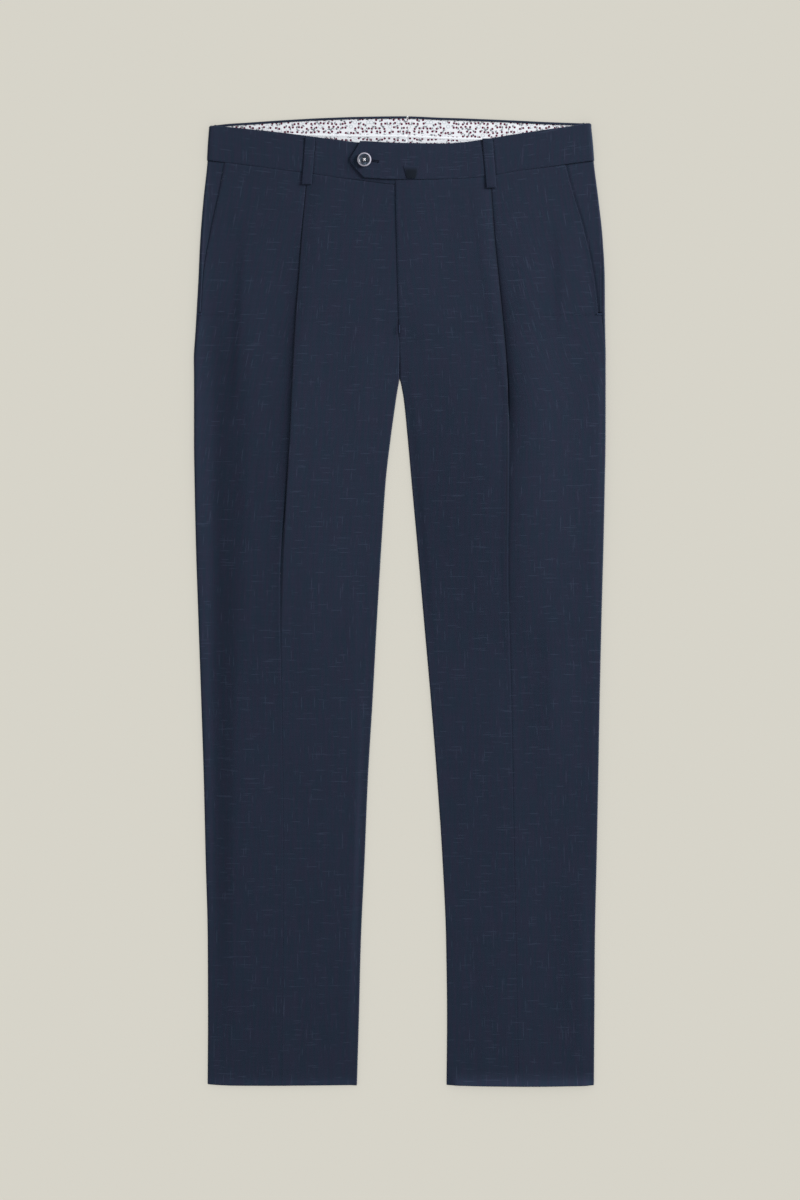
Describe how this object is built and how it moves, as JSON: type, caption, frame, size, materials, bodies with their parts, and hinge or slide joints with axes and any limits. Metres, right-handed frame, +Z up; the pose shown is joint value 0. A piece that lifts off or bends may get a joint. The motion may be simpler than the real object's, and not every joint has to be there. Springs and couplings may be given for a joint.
{
  "type": "pleated dress trousers",
  "caption": "Pleated dress trousers laid flat on their back: two legs with pressed creases, slanted pockets, belt loops and a pointed waistband tab with a button.",
  "frame": {"origin": "on the floor, under the middle of the trousers' bounding box", "axes": "+Z up, away from the floor, the trousers' front facing it; +Y towards the waist; +X towards the wearer's left"},
  "size_m": [0.4612, 1.0856, 0.0093],
  "materials": {
    "suiting": "matt navy suiting with fine slubs",
    "lining": "white cotton with a small dot and leaf print",
    "tape": "plain dark navy tape",
    "button": "marbled dark blue with a pale rim"
  },
  "bodies": {
    "root": {"front_panel_right": "suiting", "front_panel_left": "suiting", "back_panel_right": "suiting", "back_panel_left": "suiting", "pocket_facing_right": "suiting", "pocket_facing_left": "suiting", "waistband_right": "suiting", "waistband_left": "suiting", "lining_right": "lining", "lining_left": "lining", "curtain_right": "lining", "curtain_left": "lining", "belt_loop_right": "suiting", "belt_loop_left": "suiting", "prong_keeper": "tape", "button": "button"}
  },
  "joints": []
}
